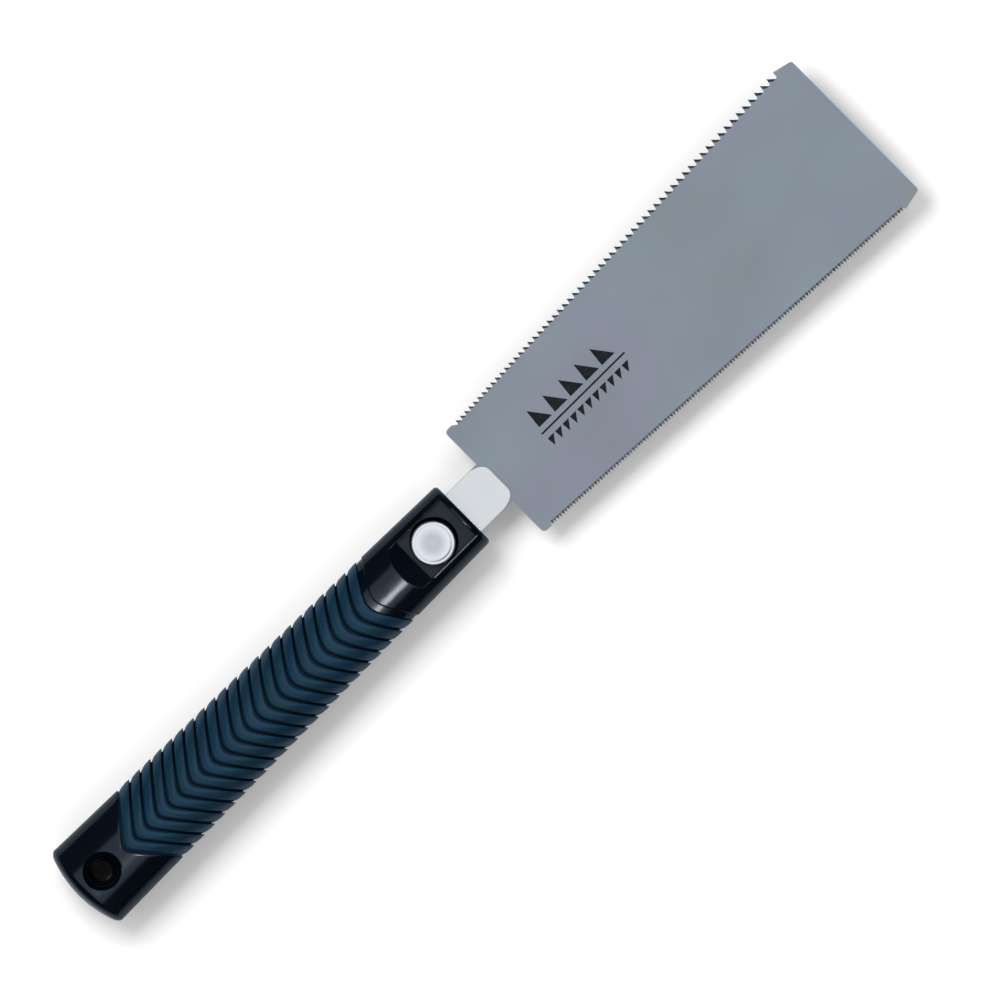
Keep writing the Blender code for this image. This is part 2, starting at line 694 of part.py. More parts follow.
def shell_screws():
    """The self-tapping screws that join the two shells, hidden by the grip."""
    shank, head, tip = 0.0014, 0.0028, 0.0156
    profile = [
        (0.0, tip),
        (shank, tip - 0.0016),
        (shank, SCREW_HEAD_HIGH),
        (head, SCREW_HEAD_HIGH),
        (head, SCREW_HEAD_LOW + 0.0004),
        (head - 0.0004, SCREW_HEAD_LOW),
        (0.0, SCREW_HEAD_LOW),
    ]
    for i, station in enumerate(SCREW_STATIONS):
        screw = turned(f"shell_screw_{i + 1}", profile, SPRING_STEEL, station, steps=20)
        x, depth = along(station), SCREW_HEAD_LOW + 0.0009
        for name, half_x, half_y in (("along", 0.0015, 0.00035), ("across", 0.00035, 0.0015)):
            low, high = (x - half_x, -half_y, LOW), (x + half_x, half_y, depth)
            cut(screw, as_cutter(block(f"drive_{name}_{i + 1}", low, high, SPRING_STEEL)))


handle_shells()
grip_sleeve()
blade_and_tang()
tang_socket()
button_and_pin()
release_spring()
spring_plug()
shell_screws()
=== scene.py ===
"""A small double-edged pull saw with an exchangeable blade, a ribbed rubber grip and a push-button lock."""

import math

import bmesh
import bpy
from mathutils import Matrix, Vector


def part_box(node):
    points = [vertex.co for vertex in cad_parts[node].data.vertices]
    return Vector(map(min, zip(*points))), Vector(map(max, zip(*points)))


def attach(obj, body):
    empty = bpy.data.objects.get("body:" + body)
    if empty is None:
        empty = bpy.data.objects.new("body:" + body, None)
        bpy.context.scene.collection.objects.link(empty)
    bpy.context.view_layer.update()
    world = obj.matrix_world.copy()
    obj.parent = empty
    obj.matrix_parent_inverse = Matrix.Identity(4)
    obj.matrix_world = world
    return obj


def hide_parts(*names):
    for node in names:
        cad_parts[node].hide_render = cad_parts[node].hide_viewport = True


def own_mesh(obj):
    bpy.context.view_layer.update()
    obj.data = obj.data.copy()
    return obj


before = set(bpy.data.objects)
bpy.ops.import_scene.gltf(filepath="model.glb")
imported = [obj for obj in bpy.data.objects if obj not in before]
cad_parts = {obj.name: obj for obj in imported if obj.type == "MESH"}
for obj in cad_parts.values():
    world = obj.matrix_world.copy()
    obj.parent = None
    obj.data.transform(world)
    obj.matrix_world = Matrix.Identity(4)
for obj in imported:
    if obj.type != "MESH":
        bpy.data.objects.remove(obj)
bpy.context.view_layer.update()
scene = bpy.context.scene
scene.view_settings.view_transform = "Standard"

# ---------------------------------------------------------------- camera
# The saw is seen from straight above. It runs from the lower left of the view, where the butt of its handle
# is, to the upper right, with the coarse teeth along the upper edge of the blade.

VIEW_TURN = math.radians(-44.74)
VIEW_SIDE = 0.3175
VIEW_HEIGHT = 9.0
view_middle = Vector((0.0098, -0.0052, 0.0105))

camera = bpy.data.objects.new("camera", bpy.data.cameras.new("camera"))
scene.collection.objects.link(camera)
camera.location = view_middle + Vector((0.0, 0.0, VIEW_HEIGHT))
camera.rotation_euler = (0.0, 0.0, VIEW_TURN)
camera.data.lens = camera.data.sensor_width * VIEW_HEIGHT / VIEW_SIDE
camera.data.clip_start = 0.01
scene.camera = camera

# ---------------------------------------------------------------- studio
# A plain white sweep under an even dome of light, with a key light on the coarse-toothed side that drops the
# shadow on the other side. The softbox overhead is there for the gloss. A snooted strip falls on the black
# shells alone, and draws the streak along the crown of the head.

FLOOR_SIDE = 8.0
FLOOR_COLOUR = (0.875, 0.872, 0.868)
# FLOOR_MIRRORED is the floor's colour in reflections, darker than the floor itself: painted shade.
FLOOR_MIRRORED = (0.30, 0.33, 0.37)
LIGHTS = {
    "softbox": {"at": (0.0, -0.10, 1.25), "size": (1.15, 0.95), "watts": 2.9, "shows": "gloss"},
    "key": {"at": (-0.05, 0.63, 0.90), "size": (0.56, 0.56), "watts": 8.4, "shows": "matt"},
    "strip": {"at": (-0.04, -0.162, 1.23), "size": (0.13, 0.150), "watts": 1.30, "shows": "gloss"},
}
SOFTBOX_TINT = (0.94, 0.98, 1.03)
STRIP_TINT = (1.10, 0.96, 0.85)
AIR_SEEN = 0.95
AIR_MIRRORED = 0.022
AIR_LIGHT = 1.12
FLAG_EDGE = (0.86, 0.93)


def flat_square(name, side):
    form = bmesh.new()
    bmesh.ops.create_grid(form, x_segments=1, y_segments=1, size=side / 2)
    mesh = bpy.data.meshes.new(name)
    form.to_mesh(mesh)
    form.free()
    square = bpy.data.objects.new(name, mesh)
    scene.collection.objects.link(square)
    return square


floor = flat_square("floor", FLOOR_SIDE)
floor_finish = bpy.data.materials.new("floor")
floor_finish.use_nodes = True
floor_shader = floor_finish.node_tree.nodes["Principled BSDF"]
floor_shader.inputs["Base Color"].default_value = (*FLOOR_COLOUR, 1.0)
floor_shader.inputs["Roughness"].default_value = 0.9
floor_shader.inputs["Specular IOR Level"].default_value = 0.1
# Seen in reflections, the floor takes the darker mirrored colour: a painted shade on its reflections.
floor_rays = floor_finish.node_tree.nodes.new("ShaderNodeLightPath")
floor_mix = floor_finish.node_tree.nodes.new("ShaderNodeMix")
floor_mix.data_type = "RGBA"
floor_mix.inputs["A"].default_value = (*FLOOR_COLOUR, 1.0)
floor_mix.inputs["B"].default_value = (*FLOOR_MIRRORED, 1.0)
floor_finish.node_tree.links.new(floor_rays.outputs["Is Glossy Ray"], floor_mix.inputs["Factor"])
floor_finish.node_tree.links.new(floor_mix.outputs["Result"], floor_shader.inputs["Base Color"])
floor.data.materials.append(floor_finish)

lights = {}

for name, plan in LIGHTS.items():
    lamp = bpy.data.lights.new(name, "AREA")
    lamp.shape = "RECTANGLE"
    lamp.size, lamp.size_y = plan["size"]
    lamp.energy = plan["watts"]
    light = bpy.data.objects.new(name, lamp)
    light.location = plan["at"]
    light.rotation_euler = Vector(plan["at"]).to_track_quat("Z", "Y").to_euler()
    light.visible_camera = False
    light.visible_glossy = plan["shows"] == "gloss"
    light.visible_diffuse = plan["shows"] == "matt"
    scene.collection.objects.link(light)
    lights[name] = light
lights["softbox"].data.color = SOFTBOX_TINT
lights["strip"].data.color = STRIP_TINT

world = bpy.data.worlds.new("studio")
world.use_nodes = True
scene.world = world
air = world.node_tree
rays = air.nodes.new("ShaderNodeLightPath")
mixed = air.nodes["Background"]
mixed.inputs["Color"].default_value = (AIR_LIGHT, AIR_LIGHT, AIR_LIGHT, 1.0)
direction = air.nodes.new("ShaderNodeTexCoord")
upwards = air.nodes.new("ShaderNodeSeparateXYZ")
flag = air.nodes.new("ShaderNodeMapRange")
for socket, value in zip(("From Min", "From Max", "To Min", "To Max"), (*FLAG_EDGE, 1.0, 0.0)):
    flag.inputs[socket].default_value = value
air.links.new(direction.outputs["Generated"], upwards.inputs["Vector"])
air.links.new(upwards.outputs["Z"], flag.inputs["Value"])
air.links.new(flag.outputs["Result"], mixed.inputs["Strength"])
for ray, brightness in (("Is Glossy Ray", AIR_MIRRORED), ("Is Camera Ray", AIR_SEEN)):
    alone = air.nodes.new("ShaderNodeBackground")
    alone.inputs["Color"].default_value = (brightness, brightness, brightness, 1.0)
    either = air.nodes.new("ShaderNodeMixShader")
    air.links.new(rays.outputs[ray], either.inputs["Fac"])
    air.links.new(mixed.outputs[0], either.inputs[1])
    air.links.new(alone.outputs["Background"], either.inputs[2])
    mixed = either
air.links.new(mixed.outputs[0], air.nodes["World Output"].inputs["Surface"])

# ---------------------------------------------------------------- the handle's surface
# The black core and the rubber share one outer surface: a flattened oval that narrows steadily from the
# butt to the head. Its rings lean towards the head away from the centre line, which makes the chevrons.

BLADE_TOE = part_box("blade")[1].x
BUTT = BLADE_TOE - 0.3472
MID_Z = (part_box("handle_shell_upper")[0].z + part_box("handle_shell_lower")[1].z) / 2
HANDLE_LENGTH = 0.1721
HALF_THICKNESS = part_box("handle_shell_upper")[1].z - MID_Z
BUTT_HALF_WIDTH = 0.01547
WIDTH_TAPER = 0.0183
SECTION_POWER = 2.6
BUTT_BULGE_RADIUS = 0.0368

GRIP_REAR = 0.0206
GRIP_FRONT = 0.1300
BLOCK_REAR = 0.1325
HEAD_SQUARE_FROM = 0.1500
CHEVRON_SLOPE = (0.86, 0.69)
CHEVRON_APEX = (0.0012, 0.0037)
EDGE_FLARE = 0.0007
FLARE_FADE = (0.0050, 0.0025)


def blended(low, high, share):
    return low + (high - low) * min(1.0, max(0.0, share))


def half_width(station):
    return BUTT_HALF_WIDTH - WIDTH_TAPER * station


def chevron_lean(station, y):
    """How far a ring has moved towards the head at y. It is nought on the centre line."""
    share = (station - GRIP_REAR) / (GRIP_FRONT - GRIP_REAR)
    slope = blended(*CHEVRON_SLOPE, share)
    apex = blended(*CHEVRON_APEX, share)
    rise = blended(0.0, 1.0, (station - GRIP_REAR * 0.4) / (GRIP_REAR * 0.6))
    fall = blended(1.0, 0.0, (station - BLOCK_REAR) / (HEAD_SQUARE_FROM - BLOCK_REAR))
    straight = rise * fall * slope * (math.hypot(y, apex) - apex)
    flare = EDGE_FLARE * (abs(y) / half_width(station)) ** 8
    flare *= blended(0.0, 1.0, (station - GRIP_REAR) / FLARE_FADE[0])
    flare *= blended(1.0, 0.0, (station - GRIP_FRONT) / FLARE_FADE[1])
    return straight + flare


def surface_x(station, y, z):
    """X of the handle's surface, with the butt's gentle bulge. Z is measured from the middle plane."""
    bulge = blended(1.0, 0.0, station / (GRIP_REAR * 0.4)) * (y * y + z * z) / (2 * BUTT_BULGE_RADIUS)
    return BUTT + station + chevron_lean(station, y) + bulge


def ring_sizes(station, inset):
    """Half the width and half the height of the oval at a station, this far under the surface."""
    side_station = station + chevron_lean(station, half_width(station))
    return half_width(side_station) - inset, HALF_THICKNESS - inset


def oval_height(y, half_y, half_z):
    share = min(1.0, abs(y) / half_y)
    return half_z * (1 - share**SECTION_POWER) ** (1 / SECTION_POWER)


def oval_point(angle, half_y, half_z):
    power = 2 / SECTION_POWER
    cosine, sine = math.cos(angle), math.sin(angle)
    y = half_y * math.copysign(abs(cosine) ** power, cosine)
    return y, half_z * math.copysign(abs(sine) ** power, sine)


def draped(name, columns, rows, place, closed_rows=False, groove=None):
    """A skin of columns by rows of points, joined round its columns and put where place(column, row) says.

    Groove(row), if given, gives the row's share of painted groove shade, kept as an attribute."""
    form = bmesh.new()
    bmesh.ops.create_grid(form, x_segments=columns, y_segments=rows, size=1.0)
    groove_shade_layer = form.verts.layers.float.new("groove") if groove else None
    for point in form.verts:
        column = round((point.co.x + 1) / 2 * columns) % columns
        row = round((point.co.y + 1) / 2 * rows)
        row = row % rows if closed_rows else row
        point.co = place(column, row)
        if groove:
            point[groove_shade_layer] = groove(row)
    bmesh.ops.remove_doubles(form, verts=form.verts, dist=0.0000005)
    bmesh.ops.dissolve_degenerate(form, edges=form.edges, dist=0.0000005)
    bmesh.ops.holes_fill(form, edges=[edge for edge in form.edges if edge.is_boundary], sides=0)
    bmesh.ops.recalc_face_normals(form, faces=form.faces)
    return finished(name, form)


def finished(name, form, sharp_angle=40):
    """The object for a bmesh, smooth except along edges sharper than the angle."""
    mesh = bpy.data.meshes.new(name)
    form.to_mesh(mesh)
    form.free()
    mesh.shade_smooth()
    mesh.set_sharp_from_angle(angle=math.radians(sharp_angle))
    piece = bpy.data.objects.new(name, mesh)
    scene.collection.objects.link(piece)
    return piece


# ---------------------------------------------------------------- rubber grip
# Thermoplastic rubber moulded over the core, bonded to it and flush with it at both ends. Its shingled
# chevron ribs rise towards the head and end in a sharp step, so the hand can't slip when it pulls.

RIB_COUNT = 22
RIB_DEPTH = 0.00095
RUBBER_THICKNESS = 0.0024
GRIP_AROUND = 144
RIB_PROFILE = (
    (0.000, 1.00), (0.060, 1.00), (0.100, 0.90), (0.130, 0.72), (0.170, 0.50), (0.220, 0.36),
    (0.290, 0.24), (0.350, 0.16), (0.385, 0.14), (0.410, 0.16), (0.440, 0.13), (0.500, 0.06),
    (0.620, 0.01), (0.800, 0.00), (0.890, 0.03), (0.935, 0.12), (0.962, 0.32), (0.980, 0.66),
    (0.992, 0.92),
)
# Over these shares of the rib's depth the rubber's colour is painted darker: painted shade in the grooves.
GROOVE_SHADE_FROM = (0.28, 0.80)

grip_rows = []
rib_pitch = (GRIP_FRONT - GRIP_REAR) / RIB_COUNT
for rib in range(RIB_COUNT):
    for share, depth in RIB_PROFILE:
        if rib == 0 and share < 0.13:
            depth = 0.45 + 2.5 * share
        grip_rows.append((GRIP_REAR + rib_pitch * (rib + share), depth * RIB_DEPTH))
grip_rows.append((GRIP_FRONT, 0.00060))
inner_rows = 12
for i in range(inner_rows + 1):
    grip_rows.append((blended(GRIP_FRONT, GRIP_REAR, i / inner_rows), RUBBER_THICKNESS - 0.000125))


def grip_place(column, row):
    station, inset = grip_rows[row]
    y, z = oval_point(2 * math.pi * column / GRIP_AROUND, *ring_sizes(station, inset))
    return surface_x(station, y, z), y, MID_Z + z


# Painted shade: how far each row's colour is darkened, nothing near the ribs' tops and full deep in the
# grooves.
def groove_shade_share(row):
    low, high = GROOVE_SHADE_FROM
    share = min(1.0, max(0.0, (grip_rows[row][1] / RIB_DEPTH - low) / (high - low)))
    return share * share * (3 - 2 * share)


grip = draped("grip_rubber", GRIP_AROUND, len(grip_rows), grip_place, True, groove_shade_share)


def new_finish(name, colour, roughness, metallic=0.0):
    """A material and its shader, with the values that are the same all over."""
    made = bpy.data.materials.new(name)
    made.use_nodes = True
    shader = made.node_tree.nodes["Principled BSDF"]
    shader.inputs["Base Color"].default_value = (*colour, 1.0)
    shader.inputs["Roughness"].default_value = roughness
    shader.inputs["Metallic"].default_value = metallic
    return made, shader


def grain(made, scale, detail=2.0, stretch=(1.0, 1.0, 1.0), kind="ShaderNodeTexNoise"):
    """Noise on the object's own coordinates. Scale counts its features in a metre."""
    tree = made.node_tree
    where = tree.nodes.new("ShaderNodeTexCoord")
    mapping = tree.nodes.new("ShaderNodeMapping")
    mapping.inputs["Scale"].default_value = stretch
    texture = tree.nodes.new(kind)
    texture.inputs["Scale"].default_value = scale
    if "Detail" in texture.inputs:
        texture.inputs["Detail"].default_value = detail
    tree.links.new(where.outputs["Object"], mapping.inputs["Vector"])
    tree.links.new(mapping.outputs["Vector"], texture.inputs["Vector"])
    return texture.outputs["Fac"] if "Fac" in texture.outputs else texture.outputs["Distance"]


def spread(made, value, low, high, start=0.3, end=0.7):
    """The value's middle range stretched over low to high."""
    tree = made.node_tree
    stretch = tree.nodes.new("ShaderNodeMapRange")
    stretch.inputs["From Min"].default_value = start
    stretch.inputs["From Max"].default_value = end
    stretch.inputs["To Min"].default_value = low
    stretch.inputs["To Max"].default_value = high
    tree.links.new(value, stretch.inputs["Value"])
    return stretch.outputs["Result"]


def tinted(made, value, first, second, start=0.3, end=0.7):
    """A colour that runs from first to second as the value rises."""
    tree = made.node_tree
    ramp = tree.nodes.new("ShaderNodeValToRGB")
    ramp.color_ramp.elements[0].position = start
    ramp.color_ramp.elements[0].color = (*first, 1.0)
    ramp.color_ramp.elements[1].position = end
    ramp.color_ramp.elements[1].color = (*second, 1.0)
    tree.links.new(value, ramp.inputs["Fac"])
    return ramp.outputs["Color"]


def raised(made, heights):
    """Bumps stacked on each other, each a (value, height in metres) pair. Returns the last one's normal."""
    tree = made.node_tree
    normal = None
    for value, height in heights:
        bump = tree.nodes.new("ShaderNodeBump")
        bump.inputs["Distance"].default_value = height
        tree.links.new(value, bump.inputs["Height"])
        if normal:
            tree.links.new(normal, bump.inputs["Normal"])
        normal = bump.outputs["Normal"]
    return normal


def connected(made, shader, **sources):
    """Links each source to the shader's socket of that name, with spaces for underscores."""
    for socket, source in sources.items():
        made.node_tree.links.new(source, shader.inputs[socket.replace("_", " ")])


def darkened(made, colour, attribute, dark):
    """The colour, turned to dark where the attribute of this name is 1: painted shade."""
    tree = made.node_tree
    depth = tree.nodes.new("ShaderNodeAttribute")
    depth.attribute_name = attribute
    mix = tree.nodes.new("ShaderNodeMix")
    mix.data_type = "RGBA"
    mix.inputs["B"].default_value = (*dark, 1.0)
    tree.links.new(depth.outputs["Fac"], mix.inputs["Factor"])
    tree.links.new(colour, mix.inputs["A"])
    return mix.outputs["Result"]


def colour_between(made, first, second, share):
    """Two colours mixed by a value from 0 to 1."""
    tree = made.node_tree
    mix = tree.nodes.new("ShaderNodeMix")
    mix.data_type = "RGBA"
    tree.links.new(share, mix.inputs["Factor"])
    tree.links.new(first, mix.inputs["A"])
    tree.links.new(second, mix.inputs["B"])
    return mix.outputs["Result"]


rubber, rubber_shader = new_finish("blue_rubber", (0.0015, 0.016, 0.030), 0.40)
rubber_shader.inputs["Specular IOR Level"].default_value = 0.78
rubber_shader.inputs["Specular Tint"].default_value = (0.42, 0.63, 1.0, 1.0)
cloud = grain(rubber, 90, 3.0)
hue = grain(rubber, 210, 2.0)
speckle = grain(rubber, 2600, 3.0)
rubber_blue = tinted(rubber, cloud, (0.0008, 0.0132, 0.0290), (0.0016, 0.0178, 0.0375))
rubber_green = tinted(rubber, cloud, (0.0008, 0.0168, 0.0245), (0.0018, 0.0215, 0.0315))
rubber_mixed = colour_between(rubber, rubber_blue, rubber_green, spread(rubber, hue, 0.0, 1.0, 0.40, 0.62))
# The rubber's colour is painted darker in its grooves through the groove attribute: painted shade.
connected(
    rubber,
    rubber_shader,
    Base_Color=darkened(rubber, rubber_mixed, "groove", (0.0004, 0.0020, 0.0060)),
    Roughness=spread(rubber, speckle, 0.30, 0.40),
    Normal=raised(rubber, [(grain(rubber, 700, 2.0), 0.00003), (speckle, 0.000012)]),
)
grip.data.materials.append(rubber)
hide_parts("grip_sleeve")
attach(grip, "handle")

# ---------------------------------------------------------------- black handle shells
# Two glossy black mouldings that meet along the handle's middle plane. They show at the butt, in a narrow
# band in front of the rubber, and as the head, whose top is scooped out round the button.

HALF_SPLIT = 0.00005
UNDER_RUBBER = 0.002525
BUTT_FILLET = 0.0022
BAND_DEPTH = 0.00045
HEAD_FILLET = 0.0012
SHOULDER = 0.0094
SIDE_COLUMNS = 22

PANEL_REAR = 0.1510
PANEL_FRONT = 0.1701
PANEL_HALF_WIDTH = 0.0083
PANEL_DEPTH = 0.0028
SCOOP_REAR = 0.1442
SCOOP_EXIT = math.radians(13.0)
LEDGE_INNER = 0.0079
LEDGE_OUTER = 0.0087
LEDGE_SLOPE = 0.06
LIP_RADIUS = 0.00035
SHARP_LIP = 0.00010
NOSE_DROP = 0.00050
FOOT_RADIUS = 0.00030
CREST_SOFTNESS = 0.00012

scoop_run = PANEL_REAR - SCOOP_REAR
scoop_fall = PANEL_DEPTH * math.cos(SCOOP_EXIT) - scoop_run * math.sin(SCOOP_EXIT)
SCOOP_RADIUS = (scoop_run**2 + PANEL_DEPTH**2) / (2 * scoop_fall)


def lip_and_foot(lip, steps=4):
    """(distance outside the wall, limit of depth, rise from the floor) down a wall's rounded lip and foot."""
    down = []
    for i in range(steps + 1):
        angle = math.radians(90 * i / steps)
        down.append((lip * (1 - math.sin(angle)), lip * (1 - math.cos(angle)), 0.0))
    for i in range(steps + 1):
        angle = math.radians(90 * i / steps)
        down.append((-FOOT_RADIUS * (1 - math.cos(angle)), 1.0, FOOT_RADIUS * (1 - math.sin(angle))))
    return down


def side_columns(edge, lip):
    """(distance from the centre line, limit of depth, rise from the floor) from a shoulder inwards."""
    columns = [(SHOULDER, 0.0, 0.0), (SHOULDER - 0.0004, 0.0, 0.0)]
    columns += [(edge + out, limit, rise) for out, limit, rise in lip_and_foot(lip)]
    inner = edge - FOOT_RADIUS
    steps = 14
    return columns + [(inner * (1 - i / steps), 1.0, 0.0) for i in range(1, steps)]


def top_columns():
    """(y, limit of depth, rise from the floor) across the top, from its +Y shoulder to its -Y shoulder."""
    plus, minus = side_columns(PANEL_HALF_WIDTH, LIP_RADIUS), side_columns(LEDGE_INNER, SHARP_LIP)
    return plus + [(0.0, 1.0, 0.0)] + [(-y, limit, rise) for y, limit, rise in reversed(minus)]


def core_rows():
    """(station, inset, limit of depth, rise from the floor) for each ring from butt to head."""
    rows = []
    steps = 8
    for i in range(steps + 1):
        angle = math.radians(90 * i / steps)
        rows.append((BUTT_FILLET * (1 - math.cos(angle)), BUTT_FILLET * (1 - math.sin(angle))))
    edge = 0.0003
    rows += [(blended(BUTT_FILLET, GRIP_REAR - edge, i / 28), 0.0) for i in range(1, 29)]
    rows += [(GRIP_REAR - 0.00012, 0.00008), (GRIP_REAR - 0.00004, 0.0003), (GRIP_REAR, UNDER_RUBBER)]
    rows += [(blended(GRIP_REAR, GRIP_FRONT, i / 16), UNDER_RUBBER) for i in range(1, 17)]
    rows += [(GRIP_FRONT + 0.00004, BAND_DEPTH + 0.0003), (GRIP_FRONT + 0.0002, BAND_DEPTH)]
    rows += [(blended(GRIP_FRONT + 0.0002, BLOCK_REAR, i / 5), BAND_DEPTH) for i in range(1, 6)]
    for i in range(1, 7):
        angle = math.radians(90 * i / 6)
        rows.append((BLOCK_REAR + BAND_DEPTH * (1 - math.cos(angle)), BAND_DEPTH * (1 - math.sin(angle))))
    full = [(station, inset, 1.0, 0.0) for station, inset in rows]
    last = BLOCK_REAR + BAND_DEPTH
    near_wall = PANEL_FRONT - FOOT_RADIUS
    count = 100
    full += [(blended(last, near_wall, i / count), 0.0, 1.0, 0.0) for i in range(1, count)]
    for out, limit, rise in reversed(lip_and_foot(SHARP_LIP)):
        full.append((PANEL_FRONT + out, 0.0, limit, rise))
    start = HANDLE_LENGTH - HEAD_FILLET
    full += [(blended(PANEL_FRONT + SHARP_LIP, start, i / 3), 0.0, 0.0, 0.0) for i in range(1, 3)]
    for i in range(7):
        angle = math.radians(90 * i / 6)
        full.append((start + HEAD_FILLET * math.sin(angle), HEAD_FILLET * (1 - math.cos(angle)), 0.0, 0.0))
    return full


def recess_depth(x, height):
    """How far the scoop and the panel's floor lie under the surface at this place."""
    floor_height = HALF_THICKNESS - PANEL_DEPTH
    behind = BUTT + PANEL_REAR - x
    if behind > 0:
        from_middle = behind + SCOOP_RADIUS * math.sin(SCOOP_EXIT)
        if from_middle >= SCOOP_RADIUS:
            return 0.0
        floor_height += SCOOP_RADIUS * math.cos(SCOOP_EXIT) - math.sqrt(SCOOP_RADIUS**2 - from_middle**2)
    depth = height - floor_height
    if depth <= -CREST_SOFTNESS:
        return 0.0
    if depth >= CREST_SOFTNESS:
        return depth
    return (depth + CREST_SOFTNESS) ** 2 / (4 * CREST_SOFTNESS)


def half_core(name, upper):
    """One shell as a closed solid: rings over the top, closed across the split, with a domed butt.

    A narrow flat runs along the panel's crosscut side, where the mould's insert meets the crown."""
    rows, top = core_rows(), top_columns()
    dome = (0.02, 0.35, 0.62, 0.84)
    columns = 2 * SIDE_COLUMNS + len(top)
    side = 1 if upper else -1

    def section(column, station, inset):
        half_y, half_z = ring_sizes(station, inset)
        shoulder_angle = math.acos((SHOULDER / half_y) ** (SECTION_POWER / 2))
        first, last = SIDE_COLUMNS, SIDE_COLUMNS + len(top)
        if first <= column < last:
            y, limit, rise = top[column - first]
            z = oval_height(y, half_y, half_z)
            if station > PANEL_REAR and -LEDGE_OUTER < y <= -LEDGE_INNER:
                z = oval_height(LEDGE_OUTER, half_y, half_z) + (LEDGE_OUTER + y) * LEDGE_SLOPE
            return y, z, limit, rise
        share = column / first if column < first else (columns - 1 - column) / (columns - 1 - (last - 1))
        y, z = oval_point(shoulder_angle * share, half_y, half_z)
        return (y if column < first else -y), z, 0.0, 0.0

    def place(column, row):
        shrink = 1.0
        if row < len(dome):
            shrink, row = dome[row], 0
        else:
            row -= len(dome)
        station, inset, row_limit, row_rise = rows[row]
        y, z, limit, rise = section(column, station, inset)
        y, z = y * shrink, z * shrink
        x = surface_x(station, y, z)
        if upper and station > BLOCK_REAR:
            depth = recess_depth(x, z)
            across = min(limit, max(0.0, depth - rise))
            ahead = min(row_limit, max(0.0, depth - row_rise))
            z -= min(depth, across, ahead)
        if upper and station > PANEL_FRONT:
            z -= NOSE_DROP * ((station - PANEL_FRONT) / (HANDLE_LENGTH - PANEL_FRONT)) ** 2
        return x, y, MID_Z + side * max(z, HALF_SPLIT)

    return draped(name, columns, len(dome) + len(rows) - 1, place)


def turned_form(profile, x, y=0.0, steps=96):
    """A solid of revolution on a vertical axis, from (radius, z) points between two on the axis."""
    form = bmesh.new()
    points = [form.verts.new((x + radius, y, z)) for radius, z in profile]
    edges = [form.edges.new(pair) for pair in zip(points, points[1:])]
    bmesh.ops.spin(
        form, geom=points + edges, cent=(x, y, 0.0), axis=(0.0, 0.0, 1.0), angle=2 * math.pi,
        steps=steps, use_merge=True,
    )
    bmesh.ops.remove_doubles(form, verts=form.verts, dist=0.0000005)
    bmesh.ops.recalc_face_normals(form, faces=form.faces)
    return form


def box_form(low, high):
    form = bmesh.new()
    bmesh.ops.create_cube(form, size=1.0)
    size = [b - a for a, b in zip(low, high)]
    middle = [(a + b) / 2 for a, b in zip(low, high)]
    bmesh.ops.transform(form, matrix=Matrix.LocRotScale(middle, None, size), verts=form.verts)
    return form


def cut(piece, forms, sharp_angle=40):
    """Takes each form out of the piece, for good."""
    cutters = []
    for i, form in enumerate(forms):
        cutter = finished(f"cutter_{i}", form)
        boolean = piece.modifiers.new(cutter.name, "BOOLEAN")
        boolean.operation = "DIFFERENCE"
        boolean.solver = "EXACT"
        boolean.object = cutter
        cutters.append(cutter)
    bpy.context.view_layer.update()
    graph = bpy.context.evaluated_depsgraph_get()
    mesh = bpy.data.meshes.new_from_object(piece.evaluated_get(graph))
    mesh.shade_smooth()
    mesh.set_sharp_from_angle(angle=math.radians(sharp_angle))
    mesh.materials.clear()
    piece.modifiers.clear()
    piece.data = mesh
    for cutter in cutters:
        bpy.data.objects.remove(cutter)


HANG_HOLE_STATION = 0.0109
HANG_HOLE_MOUTH = 0.00615
HANG_HOLE_THROAT = 0.0032
HANG_HOLE_FLARE = 0.0003
TOP = MID_Z + HALF_THICKNESS
BOTTOM = MID_Z - HALF_THICKNESS
ABOVE, BELOW = TOP + 0.002, BOTTOM - 0.002

BUTTON_STATION = 0.1587
BUTTON_BORE = 0.00712
BORE_MOUTH = 0.0077
BORE_MOUTH_OFFSET = (0.00056, 0.00022)
BORE_FLOOR = 0.0144
NECK_BORE = 0.0028
COLLAR_BORE = 0.0044
PLUG_BORE = 0.0056
PLUG_SEAT = 0.0020
SOCKET_HALF_WIDTH = 0.0095
SOCKET_HALF_HEIGHT = 0.00235
SOCKET_REAR = 0.14185


def hang_hole_form():
    """The hole's mouths are rounded over, and its wall narrows to a throat in the middle."""
    upper_half = []
    for i in range(7):
        angle = math.radians(90 * i / 6)
        radius = HANG_HOLE_MOUTH + HANG_HOLE_FLARE * (1 - math.sin(angle))
        upper_half.append((radius, HALF_THICKNESS - HANG_HOLE_FLARE * (1 - math.cos(angle))))
    wall_top = HALF_THICKNESS - HANG_HOLE_FLARE
    for i in range(1, 13):
        share = 1 - i / 12
        radius = HANG_HOLE_THROAT + (HANG_HOLE_MOUTH - HANG_HOLE_THROAT) * share**2
        upper_half.append((radius, wall_top * share))
    wall = [(radius, MID_Z + z) for radius, z in upper_half]
    wall += [(radius, MID_Z - z) for radius, z in reversed(upper_half[:-1])]
    widest = wall[0][0]
    profile = [(0.0, ABOVE), (widest, ABOVE), *wall, (widest, BELOW), (0.0, BELOW)]
    return turned_form(profile, BUTT + HANG_HOLE_STATION)


def bore_form(station, profile):
    return turned_form([(0.0, profile[0][1]), *profile, (0.0, profile[-1][1])], BUTT + station)


def socket_space():
    low = (BUTT + SOCKET_REAR, -SOCKET_HALF_WIDTH, MID_Z - SOCKET_HALF_HEIGHT)
    high = (BUTT + HANDLE_LENGTH + 0.002, SOCKET_HALF_WIDTH, MID_Z + SOCKET_HALF_HEIGHT)
    return box_form(low, high)


panel_floor = TOP - PANEL_DEPTH


